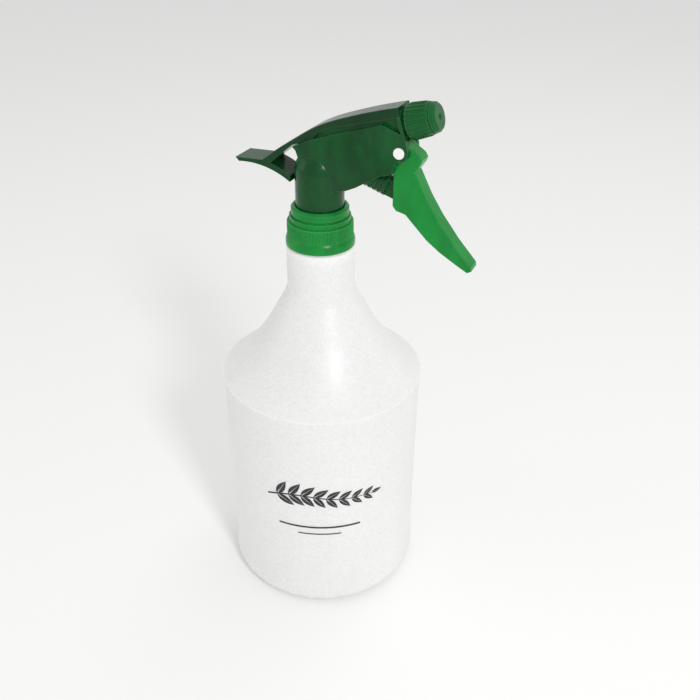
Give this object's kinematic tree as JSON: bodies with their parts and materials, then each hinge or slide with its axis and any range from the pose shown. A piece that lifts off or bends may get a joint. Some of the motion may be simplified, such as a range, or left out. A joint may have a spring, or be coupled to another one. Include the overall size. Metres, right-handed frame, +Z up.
{
  "type": "hand mister",
  "caption": "Hand mister: translucent bottle with a screw neck, a ribbed closure cap, and a pump head with a curved trigger, a piston and a turning nozzle.",
  "frame": {"origin": "centre of the bottle's standing ring, on the surface it stands on", "axes": "+Z up along the bottle's axis, +X the way the head sprays, +Y to the left of that"},
  "size_m": [0.1239, 0.1004, 0.2618],
  "materials": {
    "bottle": "frosted translucent polyethylene",
    "gasket": "soft foamed washer",
    "cap": "moulded green",
    "body": "dark glossy green",
    "cover": "dark glossy green",
    "trigger": "glossy green",
    "pin": "white",
    "piston": "green",
    "seal": "soft white",
    "spring": "drawn stainless wire",
    "ball": "polished",
    "holder": "natural white",
    "tube": "translucent extruded tube",
    "valve": "natural white",
    "nozzle": "glossy green"
  },
  "bodies": {
    "bottle": {"bottle": "bottle"},
    "head_seat": {"neck_gasket": "gasket"},
    "closure_cap": {"closure_cap": "cap"},
    "pump_head": {"pump_body": "body", "head_cover": "cover", "trigger_pin": "pin", "tube_holder": "holder", "dip_tube": "tube", "nozzle_spigot": "holder", "swirl_plug": "holder", "return_spring": "spring", "outlet_spring": "spring"},
    "trigger": {"trigger": "trigger"},
    "piston": {"piston": "piston", "piston_head_seal": "seal", "piston_wiper_seal": "seal"},
    "inlet_ball": {"inlet_ball": "ball"},
    "outlet_valve": {"outlet_valve": "valve"},
    "nozzle_ring": {"nozzle_seal": "seal"},
    "nozzle_cap": {"nozzle_cap": "nozzle"}
  },
  "joints": [
    {"name": "head_lift", "type": "slide", "parent": "bottle", "child": "head_seat", "axis": [0, 0, 1], "range_m": [0, 0.0063]},
    {"name": "cap_unscrew", "type": "hinge", "parent": "head_seat", "child": "closure_cap", "pos_m": [0, 0, 0.2], "axis": [0, 0, 1], "range_deg": [0, 540]},
    {"name": "head_swivel", "type": "hinge", "parent": "head_seat", "child": "pump_head", "pos_m": [0, 0, 0.2], "axis": [0, 0, 1], "continuous": true},
    {"name": "trigger_pull", "type": "hinge", "parent": "pump_head", "child": "trigger", "pos_m": [0.0397, 0, 0.2409], "axis": [0, 1, 0], "range_deg": [0, 26], "stiffness_Nm_per_rad": 0.35, "springref_deg": -18.33},
    {"name": "piston_stroke", "type": "slide", "parent": "pump_head", "child": "piston", "axis": [-0.9483, 0, 0.3173], "range_m": [0, 0.0086], "deforming": ["return_spring"]},
    {"name": "inlet_ball_lift", "type": "slide", "parent": "pump_head", "child": "inlet_ball", "axis": [0, 0, 1], "range_m": [0, 0.0013]},
    {"name": "outlet_valve_lift", "type": "slide", "parent": "pump_head", "child": "outlet_valve", "axis": [0.9537, 0, 0.3007], "range_m": [0, 0.0008], "stiffness_N_per_m": 30, "springref_m": -0.001, "deforming": ["outlet_spring"]},
    {"name": "nozzle_travel", "type": "slide", "parent": "pump_head", "child": "nozzle_ring", "axis": [0.9537, 0, 0.3007], "range_m": [0, 0.002]},
    {"name": "nozzle_turn", "type": "hinge", "parent": "nozzle_ring", "child": "nozzle_cap", "pos_m": [0.0404, 0, 0.252], "axis": [0.9537, 0, 0.3007], "range_deg": [0, 360]}
  ],
  "couplings": [
    {"joint": "cap_unscrew", "follows": "head_lift", "rad_per_m": 1496},
    {"joint": "piston_stroke", "follows": "trigger_pull", "m_per_rad": 0.01883},
    {"joint": "nozzle_turn", "follows": "nozzle_travel", "rad_per_m": 3141.5}
  ]
}
